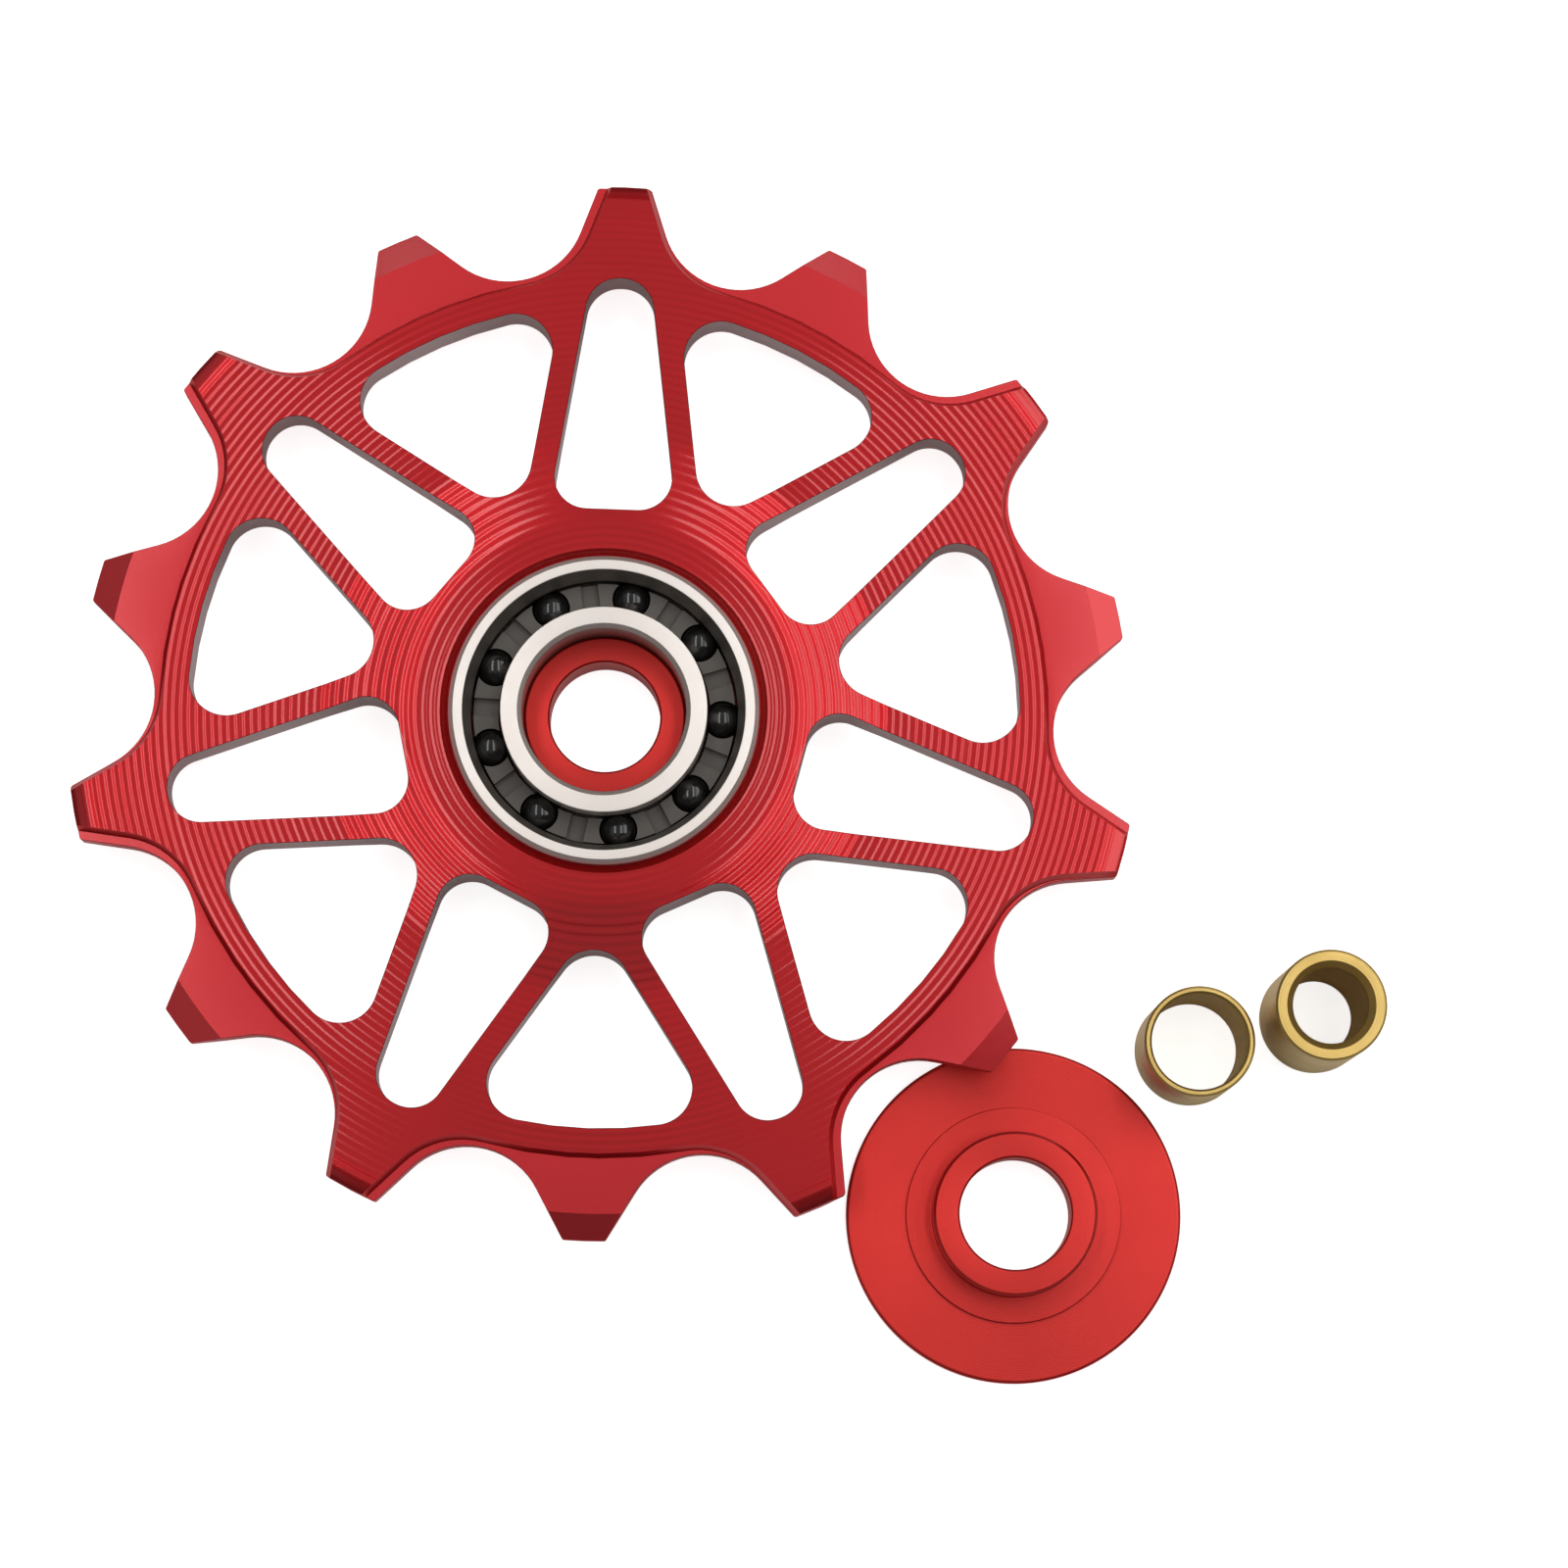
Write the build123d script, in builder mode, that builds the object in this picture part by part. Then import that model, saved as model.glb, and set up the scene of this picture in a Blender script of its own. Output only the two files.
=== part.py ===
from build123d import *
import os
from math import cos, radians, sin, tan

os.makedirs("parts", exist_ok=True)

# Jockey wheel of a chain derailleur, lying flat on its rear cap. Millimetres, +Z up along the
# axle. The origin is on the axle, at the outer face of the rear cap. Azimuths are in degrees,
# clockwise from +Y as seen from above.

# Chain that runs over the teeth
chain_pitch = 12.7
roller_diameter = 7.75

# Teeth: one wide and one narrow tooth make a pair
tooth_pairs = 7
wide_tip_rise = 0.92
narrow_tip_rise = 0.32
wide_flank_angle = 18.9
narrow_flank_angle = 29.5
tip_corner_radius = 0.18
rest_turn = 2.0

# Open ball bearing of a standard size
bearing_bore = 9.0
bearing_diameter = 17.0
bearing_width = 5.0
bearing_chamfer = 0.25
ball_diameter = 2.381
ball_count = 9
first_ball_azimuth = 13.0
race_depth = 0.405
seal_seat_width = 0.4
seal_seat_depth = 1.2

# Crown cage of the bearing
cage_ring_thickness = 0.55
cage_horn_rise = 0.75
cage_horn_thickness = 0.45
cage_notch_depth = 0.4

# Thicknesses of the wheel and the lie of its turned faces
web_thickness = 2.8
narrow_thickness = 1.8
bearing_proud = 0.3
hub_face_width = 1.99
dish_length = 4.8
bore_chamfer = 0.45
wide_tip_roll_length = 1.3
wide_tip_roll_drop = 0.3
narrow_tip_facet_length = 1.45
narrow_tip_facet_drop = 0.4
narrow_face_drop = 0.1

# Ledge that steps down from the web to the narrow teeth and along the flanks of the wide ones
ledge_inset = 0.25
ledge_wall_angle = 26
ledge_turn = 0.45

# Windows and the straight spokes between them
spoke_width = 1.35
spoke_hub_azimuth = 22.8
spoke_rim_azimuth = 5.3
hub_ring_width = 2.64
rim_width = 1.86
wide_rim_width = 0.44
window_corner_radius = 2.05
wide_window_corner_radius = 1.85

# Caps that clamp the inner ring
cap_flange_overhang = 0.7
cap_flange_thickness = 0.8
cap_flange_edge_radius = 0.2
cap_shoulder_overhang = 0.23
cap_shoulder_height = 0.3
cap_hub_length = 1.9
cap_hub_chamfer = 0.15
cap_bore_chamfer = 0.1

# Bushes that line the caps for two sizes of bolt
bush_diameter = 6.0
thin_bush_wall = 0.4
thin_bush_length = 7.2
thin_bush_mouth = 0.12
thick_bush_wall = 0.95
thick_bush_length = 9.2
thick_bush_mouth = 0.35
bush_edge_chamfer = 0.12

# Fits
seat_clearance = 0.425
bearing_seat_clearance = 0.01
cap_hub_clearance = 0.015
bush_clearance = 0.05
race_clearance = 0.045
pocket_clearance = 0.1
cage_clearance = 0.15

# Places of the loose pieces: the cap beside the wheel, each bush beside the piece before it
front_cap_azimuth = 140.5
front_cap_hub_gap = 1.44
thin_bush_azimuth = 47.1
thick_bush_azimuth = 75.4
loose_gap = 1.15

# Derived sizes of the teeth
tooth_angle = 360 / (2 * tooth_pairs)
pitch_radius = chain_pitch / (2 * sin(radians(tooth_angle / 2)))
root_radius = pitch_radius - roller_diameter / 2
wide_tip_radius = pitch_radius + wide_tip_rise
narrow_tip_radius = pitch_radius + narrow_tip_rise
seat_radius = roller_diameter / 2 + seat_clearance
seat_centre_radius = root_radius + seat_radius
narrow_height = narrow_thickness / 2
facet_radius = narrow_tip_radius - narrow_tip_facet_length
facet_height = narrow_height - narrow_face_drop
facet_slope = narrow_tip_facet_drop / narrow_tip_facet_length
facet_start = 90 - rest_turn - 3 * tooth_angle / 2
ledge_slope = narrow_face_drop / (facet_radius - root_radius)

# Derived sizes of the bearing and its cage
ball_radius = ball_diameter / 2
ball_circle_radius = (bearing_bore + bearing_diameter) / 4
race_radius = ball_radius + race_clearance
inner_shoulder_radius = ball_circle_radius - race_radius + race_depth
outer_shoulder_radius = ball_circle_radius + race_radius - race_depth
half_bearing = bearing_width / 2
cage_inner_radius = inner_shoulder_radius + cage_clearance
cage_outer_radius = outer_shoulder_radius - cage_clearance
cage_depth = ball_radius + pocket_clearance + cage_ring_thickness
ball_spacing = 2 * ball_circle_radius * sin(radians(180 / ball_count))
notch_width = ball_spacing - ball_diameter - 2 * (pocket_clearance + cage_horn_thickness)
notch_start = 90 - first_ball_azimuth - 180 / ball_count

# Derived sizes of the caps and the wheel's hub
cap_flange_radius = bearing_diameter / 2 + cap_flange_overhang
cap_shoulder_radius = inner_shoulder_radius + cap_shoulder_overhang
cap_hub_radius = bearing_bore / 2 - cap_hub_clearance
cap_bore_radius = bush_diameter / 2 + bush_clearance
cap_seat_height = cap_flange_thickness + cap_shoulder_height
cap_height = cap_seat_height + cap_hub_length
wheel_bore_radius = bearing_diameter / 2 + bearing_seat_clearance
hub_thickness = bearing_width - 2 * bearing_proud
hub_flat_radius = wheel_bore_radius + hub_face_width
dish_radius = hub_flat_radius + dish_length
hub_window_radius = wheel_bore_radius + hub_ring_width

# Planes through the middle of the wheel and along the axle, and how far cuts run past the solid
mid_height = cap_seat_height + half_bearing
mid_plane = Plane.XY.offset(mid_height)
section_plane = Plane((0, 0, mid_height), x_dir=(1, 0, 0), z_dir=(0, -1, 0))
overcut = 1.0
full_round_share = 0.97
space_radius = wide_tip_radius + overcut
space_top = web_thickness / 2 + overcut
wall_top_inset = ledge_inset + (space_top - narrow_height) * tan(radians(ledge_wall_angle))


def point_at(radius, azimuth):
    """Point at a radius and an azimuth."""
    return (radius * sin(radians(azimuth)), radius * cos(radians(azimuth)))


def turned(point, angle):
    """Point turned clockwise about the axle."""
    turn = radians(angle)
    x, y = point
    return (x * cos(turn) + y * sin(turn), y * cos(turn) - x * sin(turn))


def stepped(place, distance, azimuth):
    """Place at a distance and an azimuth from another place."""
    step_x, step_y = point_at(distance, azimuth)
    return (place[0] + step_x, place[1] + step_y)


def flank_points(tip_radius, flank_angle, inset):
    """Root, seat middle, seat end and tip corner of the clockwise flank of a tooth along +Y."""
    seat_x, seat_y = point_at(seat_centre_radius, tooth_angle / 2)
    reach = seat_radius + inset
    lean = radians(flank_angle)
    seat_end = (seat_x - reach * cos(lean), seat_y - reach * sin(lean))
    root = point_at(seat_centre_radius - reach, tooth_angle / 2)
    half_turn = radians((90 - flank_angle - tooth_angle / 2) / 2 + flank_angle)
    seat_middle = (seat_x - reach * cos(half_turn), seat_y - reach * sin(half_turn))
    along = seat_end[1] * cos(lean) - seat_end[0] * sin(lean)
    run = (along**2 + tip_radius**2 - seat_end[0] ** 2 - seat_end[1] ** 2) ** 0.5 - along
    tip = (seat_end[0] - run * sin(lean), seat_end[1] + run * cos(lean))
    return root, seat_middle, seat_end, tip


def draw_tooth(tip_radius, flank_angle, inset, azimuth):
    """Draw one tooth, from the root on its one side over the tip to the root on its other."""
    right = [turned(p, azimuth) for p in flank_points(tip_radius, flank_angle, inset)]
    left = [turned((-x, y), azimuth) for x, y in flank_points(tip_radius, flank_angle, inset)]
    for root, seat_middle, seat_end, tip in (left, right):
        ThreePointArc(root, seat_middle, seat_end)
        Line(seat_end, tip)
    ThreePointArc(left[3], point_at(tip_radius, azimuth), right[3])


def line_meets_height(start, end, height):
    """Point where the line through two points reaches a height along +Y."""
    share = (height - start[1]) / (end[1] - start[1])
    return (start[0] + share * (end[0] - start[0]), height)


def spoke_side(offset):
    """Two points on a spoke's side, at an offset from its centre line, beside the tooth at +Y."""
    hub_x, hub_y = point_at(hub_window_radius, spoke_hub_azimuth)
    rim_x, rim_y = point_at(root_radius, spoke_rim_azimuth)
    length = ((rim_x - hub_x) ** 2 + (rim_y - hub_y) ** 2) ** 0.5
    shift_x = offset * (rim_y - hub_y) / length
    shift_y = -offset * (rim_x - hub_x) / length
    return (hub_x + shift_x, hub_y + shift_y), (rim_x + shift_x, rim_y + shift_y)


# Outline of the toothed disc
with BuildLine() as tooth_outline:
    for pair in range(tooth_pairs):
        wide_azimuth = rest_turn + 2 * pair * tooth_angle
        draw_tooth(wide_tip_radius, wide_flank_angle, 0, wide_azimuth)
        draw_tooth(narrow_tip_radius, narrow_flank_angle, 0, wide_azimuth + tooth_angle)

# Raised block of the web with one pad on each wide tooth, straight at first and then drawn in
with BuildPart() as raised_block:
    for height, inset in ((narrow_height, ledge_inset), (space_top, wall_top_inset)):
        with BuildSketch(mid_plane.offset(height)):
            with BuildLine():
                for pair in range(tooth_pairs):
                    pad_azimuth = rest_turn + ledge_turn + 2 * pair * tooth_angle
                    draw_tooth(wide_tip_radius + overcut, wide_flank_angle, inset, pad_azimuth)
                    ThreePointArc(
                        point_at(root_radius - inset, pad_azimuth + tooth_angle / 2),
                        point_at(root_radius - inset, pad_azimuth + tooth_angle),
                        point_at(root_radius - inset, pad_azimuth + 3 * tooth_angle / 2),
                    )
            make_face()
    loft(ruled=True)
    extrude(faces().sort_by(Axis.Z)[0], amount=narrow_height)

# Window under a wide tooth: broad at the hub, round at the rim
with BuildSketch() as wide_window:
    with BuildLine():
        side_start, side_end = spoke_side(-spoke_width / 2)
        hub_x, hub_y = line_meets_height(side_start, side_end, hub_window_radius)
        rim_x, rim_y = line_meets_height(side_start, side_end, root_radius - wide_rim_width)
        Polyline((hub_x, hub_y), (rim_x, rim_y), (-rim_x, rim_y), (-hub_x, hub_y), close=True)
    make_face()
    side_lean = (hub_x - rim_x) / (rim_y - hub_y)
    full_round = rim_x * ((1 + side_lean**2) ** 0.5 + side_lean)
    fillet(wide_window.vertices().group_by(Axis.Y)[0], wide_window_corner_radius)
    rim_corner_radius = min(wide_window_corner_radius, full_round_share * full_round)
    fillet(wide_window.vertices().group_by(Axis.Y)[-1], rim_corner_radius)

# Window under a narrow tooth: pointed at the hub, with an arc along the rim
with BuildSketch() as narrow_window:
    with BuildLine():
        far_side = [turned(p, -tooth_angle) for p in spoke_side(spoke_width / 2)]
        (near_x, near_y), (far_x, far_y) = far_side
        stretch = -near_x / (far_x - near_x)
        apex = (0, near_y + stretch * (far_y - near_y))
        outer_left = (far_x + (far_x - near_x), far_y + (far_y - near_y))
        Polyline(apex, outer_left, (-outer_left[0], outer_left[1]), close=True)
    make_face()
    Circle(root_radius - rim_width, mode=Mode.INTERSECT)
    fillet(narrow_window.vertices(), window_corner_radius)

# Space above the bevelled tip of one narrow tooth
with BuildPart() as facet_space:
    with BuildSketch(section_plane):
        with BuildLine():
            Polyline(
                (facet_radius, facet_height),
                (space_radius, facet_height),
                (space_radius, facet_height - facet_slope * (space_radius - facet_radius)),
                close=True,
            )
        make_face()
    revolve(axis=Axis.Z, revolution_arc=tooth_angle)

# Space above the narrow teeth and along the flanks of the wide ones, on the upper side
with BuildPart() as ledge_space:
    with BuildSketch(section_plane):
        with BuildLine():
            Polyline(
                (root_radius - overcut, narrow_height),
                (root_radius, narrow_height),
                (space_radius, narrow_height - ledge_slope * (space_radius - root_radius)),
                (space_radius, space_top),
                (root_radius - overcut, space_top),
                close=True,
            )
        make_face()
    revolve(axis=Axis.Z)
    add(raised_block.part, mode=Mode.SUBTRACT)
    with PolarLocations(0, tooth_pairs, start_angle=facet_start):
        add(facet_space.part)

# Wheel: a turned blank, cut to the tooth outline, with ledges on both faces and windows through it
with BuildPart() as wheel:
    with BuildSketch(section_plane):
        with BuildLine():
            for side in (1, -1):
                roll_start = (wide_tip_radius - wide_tip_roll_length, side * web_thickness / 2)
                roll_end = (wide_tip_radius, side * (web_thickness / 2 - wide_tip_roll_drop))
                Polyline(
                    (wheel_bore_radius, 0),
                    (wheel_bore_radius, side * (hub_thickness / 2 - bore_chamfer)),
                    (wheel_bore_radius + bore_chamfer, side * hub_thickness / 2),
                    (hub_flat_radius, side * hub_thickness / 2),
                    (dish_radius, side * web_thickness / 2),
                    roll_start,
                )
                TangentArc(roll_start, roll_end, tangent=(1, 0))
                Line(roll_end, (wide_tip_radius, 0))
        make_face()
    revolve(axis=Axis.Z)
    with BuildSketch(mid_plane.offset(-hub_thickness)):
        make_face(tooth_outline.edges())
        tips = [v for v in vertices() if Vector(v.X, v.Y).length > pitch_radius]
        fillet(tips, tip_corner_radius)
    extrude(amount=2 * hub_thickness, mode=Mode.INTERSECT)
    add(ledge_space.part, mode=Mode.SUBTRACT)
    add(ledge_space.part.mirror(mid_plane), mode=Mode.SUBTRACT)
    with BuildSketch(mid_plane.offset(-hub_thickness)):
        with PolarLocations(0, tooth_pairs, start_angle=-rest_turn):
            add(wide_window.sketch)
        with PolarLocations(0, tooth_pairs, start_angle=-rest_turn - tooth_angle):
            add(narrow_window.sketch)
    extrude(amount=2 * hub_thickness, mode=Mode.SUBTRACT)
wheel.part.label = "wheel"
export_step(wheel.part, "parts/wheel.step")

# Outer ring of the bearing, pressed into the wheel, with the empty sloping seats of its two seals
with BuildPart() as bearing_outer_ring:
    with BuildSketch(section_plane):
        outer_wall = bearing_diameter / 2 - outer_shoulder_radius
        with Locations((outer_shoulder_radius + outer_wall / 2, 0)):
            Rectangle(outer_wall, bearing_width)
        rim_corners = vertices().group_by(Axis.X)[-1]
        chamfer(rim_corners, bearing_chamfer)
        for side in (1, -1):
            with BuildLine():
                Polyline(
                    (outer_shoulder_radius, side * (half_bearing - seal_seat_depth)),
                    (outer_shoulder_radius, side * half_bearing),
                    (outer_shoulder_radius + seal_seat_width, side * half_bearing),
                    close=True,
                )
            make_face(mode=Mode.SUBTRACT)
        with Locations((ball_circle_radius, 0)):
            Circle(race_radius, mode=Mode.SUBTRACT)
    revolve(axis=Axis.Z)
bearing_outer_ring.part.label = "bearing_outer_ring"
export_step(bearing_outer_ring.part, "parts/bearing_outer_ring.step")

# Inner ring of the bearing, clamped between the caps
with BuildPart() as bearing_inner_ring:
    with BuildSketch(section_plane):
        inner_wall = inner_shoulder_radius - bearing_bore / 2
        with Locations((inner_shoulder_radius - inner_wall / 2, 0)):
            Rectangle(inner_wall, bearing_width)
        bore_corners = vertices().group_by(Axis.X)[0]
        chamfer(bore_corners, bearing_chamfer)
        with Locations((ball_circle_radius, 0)):
            Circle(race_radius, mode=Mode.SUBTRACT)
    revolve(axis=Axis.Z)
bearing_inner_ring.part.label = "bearing_inner_ring"
export_step(bearing_inner_ring.part, "parts/bearing_inner_ring.step")

# Crown cage: a ring below the balls, with two horns round each ball that open upwards
with BuildPart() as bearing_cage:
    with BuildSketch(mid_plane.offset(-cage_depth)):
        Circle(cage_outer_radius)
        Circle(cage_inner_radius, mode=Mode.SUBTRACT)
    extrude(amount=cage_depth + cage_horn_rise)
    with BuildSketch(mid_plane.offset(cage_horn_rise)):
        with PolarLocations(ball_circle_radius, ball_count, start_angle=notch_start):
            Rectangle(2 * (cage_outer_radius - cage_inner_radius), notch_width)
    extrude(amount=-cage_notch_depth, mode=Mode.SUBTRACT)
    with Locations(mid_plane):
        with PolarLocations(ball_circle_radius, ball_count, start_angle=90 - first_ball_azimuth):
            Sphere(ball_radius + pocket_clearance, mode=Mode.SUBTRACT)
bearing_cage.part.label = "bearing_cage"
export_step(bearing_cage.part, "parts/bearing_cage.step")

# Balls, counted clockwise from the first
for number in range(ball_count):
    ball_x, ball_y = point_at(ball_circle_radius, first_ball_azimuth + number * 360 / ball_count)
    with BuildPart() as ball:
        with Locations((ball_x, ball_y, mid_height)):
            Sphere(ball_radius)
    ball.part.label = f"ball_{number + 1}"
    export_step(ball.part, f"parts/ball_{number + 1}.step")

# Caps, turned alike: the rear one sits in the bearing, the front one lies loose with its hub up
front_cap_distance = wide_tip_radius + front_cap_hub_gap + cap_hub_radius
front_cap_place = point_at(front_cap_distance, front_cap_azimuth)
for cap_name, (cap_x, cap_y) in (("rear_cap", (0, 0)), ("front_cap", front_cap_place)):
    with BuildPart() as cap:
        with BuildSketch(Plane((cap_x, cap_y, 0), x_dir=(1, 0, 0), z_dir=(0, -1, 0))):
            with BuildLine():
                Polyline(
                    (cap_bore_radius, 0),
                    (cap_flange_radius, 0),
                    (cap_flange_radius, cap_flange_thickness),
                    (cap_shoulder_radius, cap_flange_thickness),
                    (cap_shoulder_radius, cap_seat_height),
                    (cap_hub_radius, cap_seat_height),
                    (cap_hub_radius, cap_height),
                    (cap_bore_radius, cap_height),
                    close=True,
                )
            make_face()
            chamfer(vertices().group_by(Axis.Y)[-1].sort_by(Axis.X)[-1], cap_hub_chamfer)
            chamfer(vertices().group_by(Axis.Y)[-1].sort_by(Axis.X)[0], cap_bore_chamfer)
            fillet(vertices().group_by(Axis.X)[-1], cap_flange_edge_radius)
        revolve(axis=Axis((cap_x, cap_y, 0), (0, 0, 1)))
    cap.part.label = cap_name
    export_step(cap.part, f"parts/{cap_name}.step")

# Bushes that stand beside the wheel
bush_step = cap_flange_radius + loose_gap + bush_diameter / 2
thin_bush_place = stepped(front_cap_place, bush_step, thin_bush_azimuth)
thick_bush_place = stepped(thin_bush_place, bush_diameter + loose_gap, thick_bush_azimuth)
for bush_name, (bush_x, bush_y), wall, length, mouth in (
    ("bush_thin", thin_bush_place, thin_bush_wall, thin_bush_length, thin_bush_mouth),
    ("bush_thick", thick_bush_place, thick_bush_wall, thick_bush_length, thick_bush_mouth),
):
    with BuildPart() as bush:
        with BuildSketch(Plane((bush_x, bush_y, 0), x_dir=(1, 0, 0), z_dir=(0, -1, 0))):
            with Locations(((bush_diameter - wall) / 2, length / 2)):
                Rectangle(wall, length)
            chamfer(vertices().group_by(Axis.X)[0], mouth)
            chamfer(vertices().group_by(Axis.X)[-1], bush_edge_chamfer)
        revolve(axis=Axis((bush_x, bush_y, 0), (0, 0, 1)))
    bush.part.label = bush_name
    export_step(bush.part, f"parts/{bush_name}.step")
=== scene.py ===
"""Jockey wheel of a chain derailleur, with its bearing, its two caps and its two bushes."""

import logging
import math
from collections.abc import Iterable, Iterator, Sequence
from contextlib import contextmanager
from dataclasses import dataclass, field
from enum import Enum, IntEnum
from typing import Any

import bmesh
import bpy
import numpy as np
from mathutils import Matrix, Vector
from mathutils.geometry import delaunay_2d_cdt


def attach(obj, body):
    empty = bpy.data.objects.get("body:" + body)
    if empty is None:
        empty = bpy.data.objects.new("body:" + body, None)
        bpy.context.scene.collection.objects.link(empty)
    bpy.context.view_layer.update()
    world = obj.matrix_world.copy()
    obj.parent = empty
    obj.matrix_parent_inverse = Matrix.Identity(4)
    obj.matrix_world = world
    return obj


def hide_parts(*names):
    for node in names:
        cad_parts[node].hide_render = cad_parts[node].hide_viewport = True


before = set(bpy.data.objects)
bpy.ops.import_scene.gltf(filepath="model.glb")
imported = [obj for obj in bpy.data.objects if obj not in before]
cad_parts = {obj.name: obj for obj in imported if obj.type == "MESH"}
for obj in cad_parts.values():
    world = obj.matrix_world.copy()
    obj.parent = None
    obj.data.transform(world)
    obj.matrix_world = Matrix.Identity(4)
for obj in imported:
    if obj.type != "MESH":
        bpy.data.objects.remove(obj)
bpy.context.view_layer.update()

log = logging.getLogger("jockey_wheel")

# Metres in a millimetre: every length here is in millimetres, and every angle in degrees
MM = 0.001
ORIGIN = Vector((0.0, 0.0))
# Height of the wheel's middle above the floor
MID_HEIGHT = 3.6
# Largest turn from point to point of an arc, and number of points round a turned piece
ARC_STEP = 6.0
LATHE_STEPS = 180
# Bend past which an edge of a turned piece stays crisp
LATHE_CRISP_ANGLE = 30.0
# How near to each other points are welded, lines are joined and a place counts as on a line
WELD = 1e-4
JOIN = 1e-5
TOUCH = 1e-3
# Least square of a length, so that nothing is divided by nought
TINY = 1e-12
# Cosine of the angle from the outward direction, below which a face looks at the axle
INWARD = -0.8
WHITE = "#FFFFFF"
# Sockets for colours on a mix and for whole numbers on a comparison, whose names aren't unique
MIX_A, MIX_B, MIX_RESULT = 6, 7, 2
COMPARE_A, COMPARE_B = 2, 3

Corner = tuple[float, float, float]
Line = tuple[list[Vector], bool]


class Body(Enum):
    """Bodies of the frame that a piece can ride on."""

    AXLE_SET = "axle_set"
    WHEEL = "wheel"
    BALL_CAGE = "ball_cage"


class Slot(Enum):
    """Material slots of the record; none of them is given to a piece here."""

    RED = "anodised_red"
    STEEL = "bearing_steel"
    BALL = "ball_ceramic"
    BRASS = "bush_brass"


class Zone(IntEnum):
    """Regions of the wheel's surface that are finished differently."""

    TURNED = 0
    LEDGE = 1
    WINDOW_WALL = 2
    TOOTH_WALL = 3


def linear(colour: str) -> tuple[float, float, float, float]:
    """Turn an sRGB hex colour into a linear one.

    Args:
        colour: Six hex digits after a hash sign.

    Returns:
        Red, green, blue and alpha for a shader's socket.
    """
    parts = [int(colour[i:i + 2], 16) / 255 for i in (1, 3, 5)]
    red, green, blue = (c / 12.92 if c <= 0.04045 else ((c + 0.055) / 1.055) ** 2.4 for c in parts)
    return red, green, blue, 1.0


def set_inputs(tree: bpy.types.NodeTree, node: bpy.types.Node, inputs: dict[str | int, Any]) -> None:
    """Give inputs of a node their values and their links.

    Args:
        tree: Tree that the node is in.
        node: Node that has the inputs.
        inputs: A value, or an output socket to link from, for each input named or numbered.
    """
    for key, value in inputs.items():
        if isinstance(value, bpy.types.NodeSocket):
            tree.links.new(value, node.inputs[key])
        else:
            node.inputs[key].default_value = value


def add_node(
    tree: bpy.types.NodeTree, kind: str, inputs: dict[str | int, Any] | None = None, **settings: Any
) -> bpy.types.Node:
    """Add a node to a tree, with its settings, its values and its links.

    Args:
        tree: Shader or geometry tree.
        kind: Blender's name for the type of node.
        inputs: A value, or an output socket to link from, for each input named or numbered.
        settings: Properties of the node itself.

    Returns:
        The new node.
    """
    node = tree.nodes.new(kind)
    for name, value in settings.items():
        setattr(node, name, value)
    set_inputs(tree, node, inputs or {})
    return node


# Flat outlines

def polar(radius: float, azimuth: float) -> Vector:
    """Point at a radius and an azimuth, clockwise from +Y."""
    turn = math.radians(azimuth)
    return Vector((radius * math.sin(turn), radius * math.cos(turn)))


def turned(points: Iterable[Vector], azimuth: float) -> list[Vector]:
    """Points turned clockwise about the axle."""
    turn = Matrix.Rotation(-math.radians(azimuth), 2)
    return [turn @ point for point in points]


def mirrored(points: Iterable[Vector]) -> list[Vector]:
    """Points mirrored from one side of +Y to the other."""
    return [Vector((-point.x, point.y)) for point in points]


def arc(centre: Vector, start: Vector, end: Vector) -> list[Vector]:
    """Points along the shorter arc between two points.

    Args:
        centre: Middle of the arc's circle.
        start: First point of the arc.
        end: Last point of the arc.

    Returns:
        Points from start to end, at most ARC_STEP degrees apart.
    """
    first, last = start - centre, end - centre
    sweep = math.atan2(first.x * last.y - first.y * last.x, first.dot(last))
    steps = max(1, math.ceil(abs(sweep) / math.radians(ARC_STEP)))
    return [centre + Matrix.Rotation(sweep * i / steps, 2) @ first for i in range(steps + 1)]


def rounded(corners: Sequence[Corner]) -> list[Vector]:
    """Closed outline with rounded corners.

    Args:
        corners: X, Y and rounding radius of each corner, in order.

    Returns:
        Points of the outline.
    """
    outline: list[Vector] = []
    for index, (x, y, radius) in enumerate(corners):
        corner = Vector((x, y))
        if radius == 0:
            outline.append(corner)
            continue
        back = (Vector(corners[index - 1][:2]) - corner).normalized()
        ahead = (Vector(corners[(index + 1) % len(corners)][:2]) - corner).normalized()
        half = back.angle(ahead) / 2
        centre = corner + (back + ahead).normalized() * (radius / math.sin(half))
        reach = radius / math.tan(half)
        outline += arc(centre, corner + back * reach, corner + ahead * reach)
    return outline


def beside(line: Sequence[Vector], distance: float, closed: bool) -> list[Vector]:
    """Line that runs beside another.

    Args:
        line: Points of the first line.
        distance: How far to the left of it the new line runs.
        closed: Whether the last point joins the first.

    Returns:
        Points of the new line.
    """
    shifted = []
    for index, point in enumerate(line):
        before = line[index - 1] if closed or index else point
        after = line[(index + 1) % len(line)] if closed or index + 1 < len(line) else point
        along = (after - before).normalized()
        shifted.append(point + Vector((-along.y, along.x)) * distance)
    return shifted


def meeting(start: Vector, along: Vector, radius: float) -> Vector:
    """Point where a straight line from a start reaches a circle round the axle."""
    share = start.dot(along)
    return start + along * (math.sqrt(share**2 + radius**2 - start.length_squared) - share)


def distances(points: np.ndarray, line: Sequence[Vector]) -> np.ndarray:
    """Distances from points to a closed line.

    Args:
        points: One row for each point.
        line: Points of the closed line.

    Returns:
        One distance for each point.
    """
    start = np.array(line)
    run = np.roll(start, -1, axis=0) - start
    offset = points[:, None, :] - start[None, :, :]
    share = np.clip((offset * run).sum(2) / np.maximum((run**2).sum(1), TINY), 0, 1)
    return np.linalg.norm(offset - share[:, :, None] * run, axis=2).min(1)


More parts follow.
